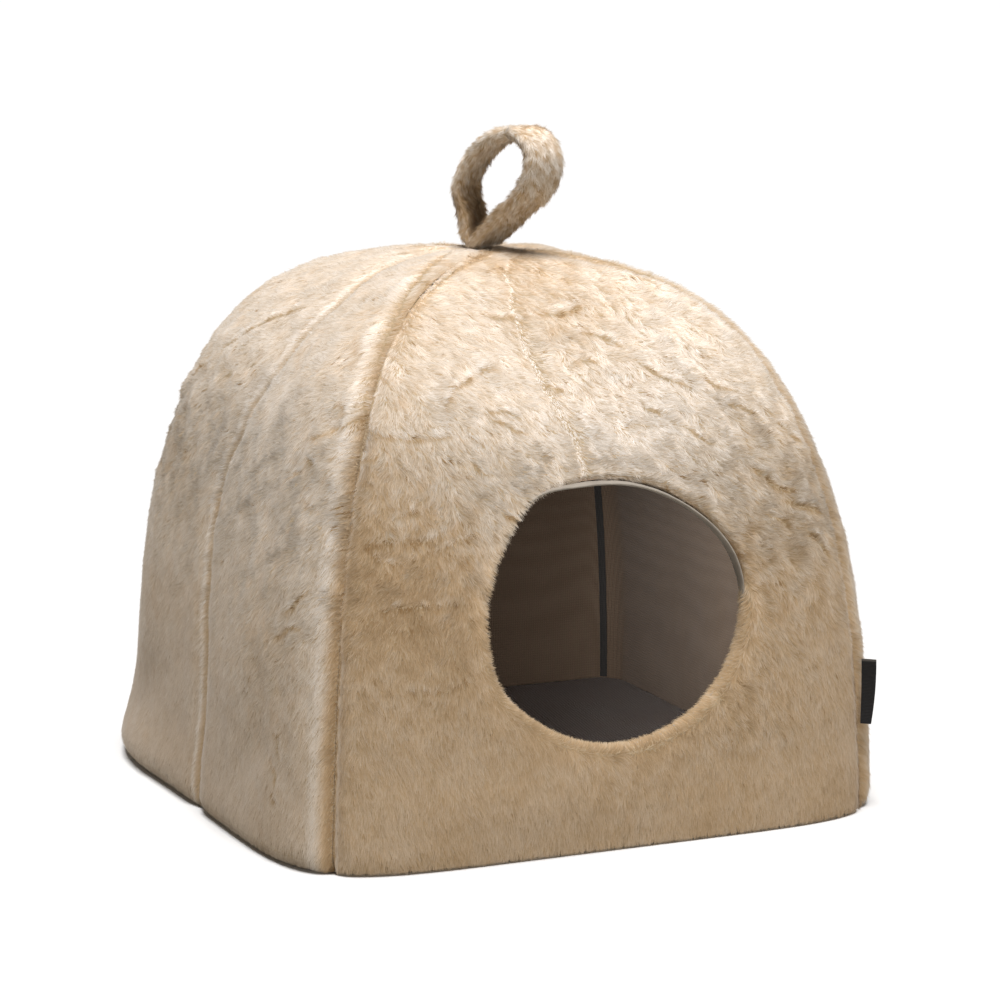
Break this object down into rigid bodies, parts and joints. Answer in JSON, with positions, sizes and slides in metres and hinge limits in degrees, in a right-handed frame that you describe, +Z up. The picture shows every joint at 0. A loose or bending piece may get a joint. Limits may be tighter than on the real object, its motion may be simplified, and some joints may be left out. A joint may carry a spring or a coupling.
{
  "type": "plush cat house",
  "caption": "Padded plush house for a cat: a square floor, walls that curve up to one crown, a round way in at the front and a carrying loop on top.",
  "frame": {"origin": "middle of the floor, on the ground", "axes": "+Z up from the ground to the crown; the side with the round opening faces -Y; +X is to the right of someone looking at the opening"},
  "size_m": [0.4074, 0.4021, 0.4094],
  "materials": {
    "plush": "short plush pile, matt",
    "lining": "smooth lining cloth, matt",
    "floor_mat": "smooth mat cloth, matt",
    "edging": "brushed binding strip, matt",
    "tape": "woven tape, matt",
    "label": "woven satin ribbon, low sheen"
  },
  "bodies": {
    "root": {"front_panel": "plush", "left_front_panel": "plush", "left_rear_panel": "plush", "right_front_panel": "plush", "right_rear_panel": "plush", "rear_left_panel": "plush", "rear_right_panel": "plush", "carry_loop": "plush", "lining_front": "lining", "lining_left": "lining", "lining_right": "lining", "lining_rear": "lining", "floor_panel": "floor_mat", "opening_edging": "edging", "tape_front_left": "tape", "tape_front_right": "tape", "tape_rear_left": "tape", "tape_rear_right": "tape", "side_label": "label"}
  },
  "joints": []
}
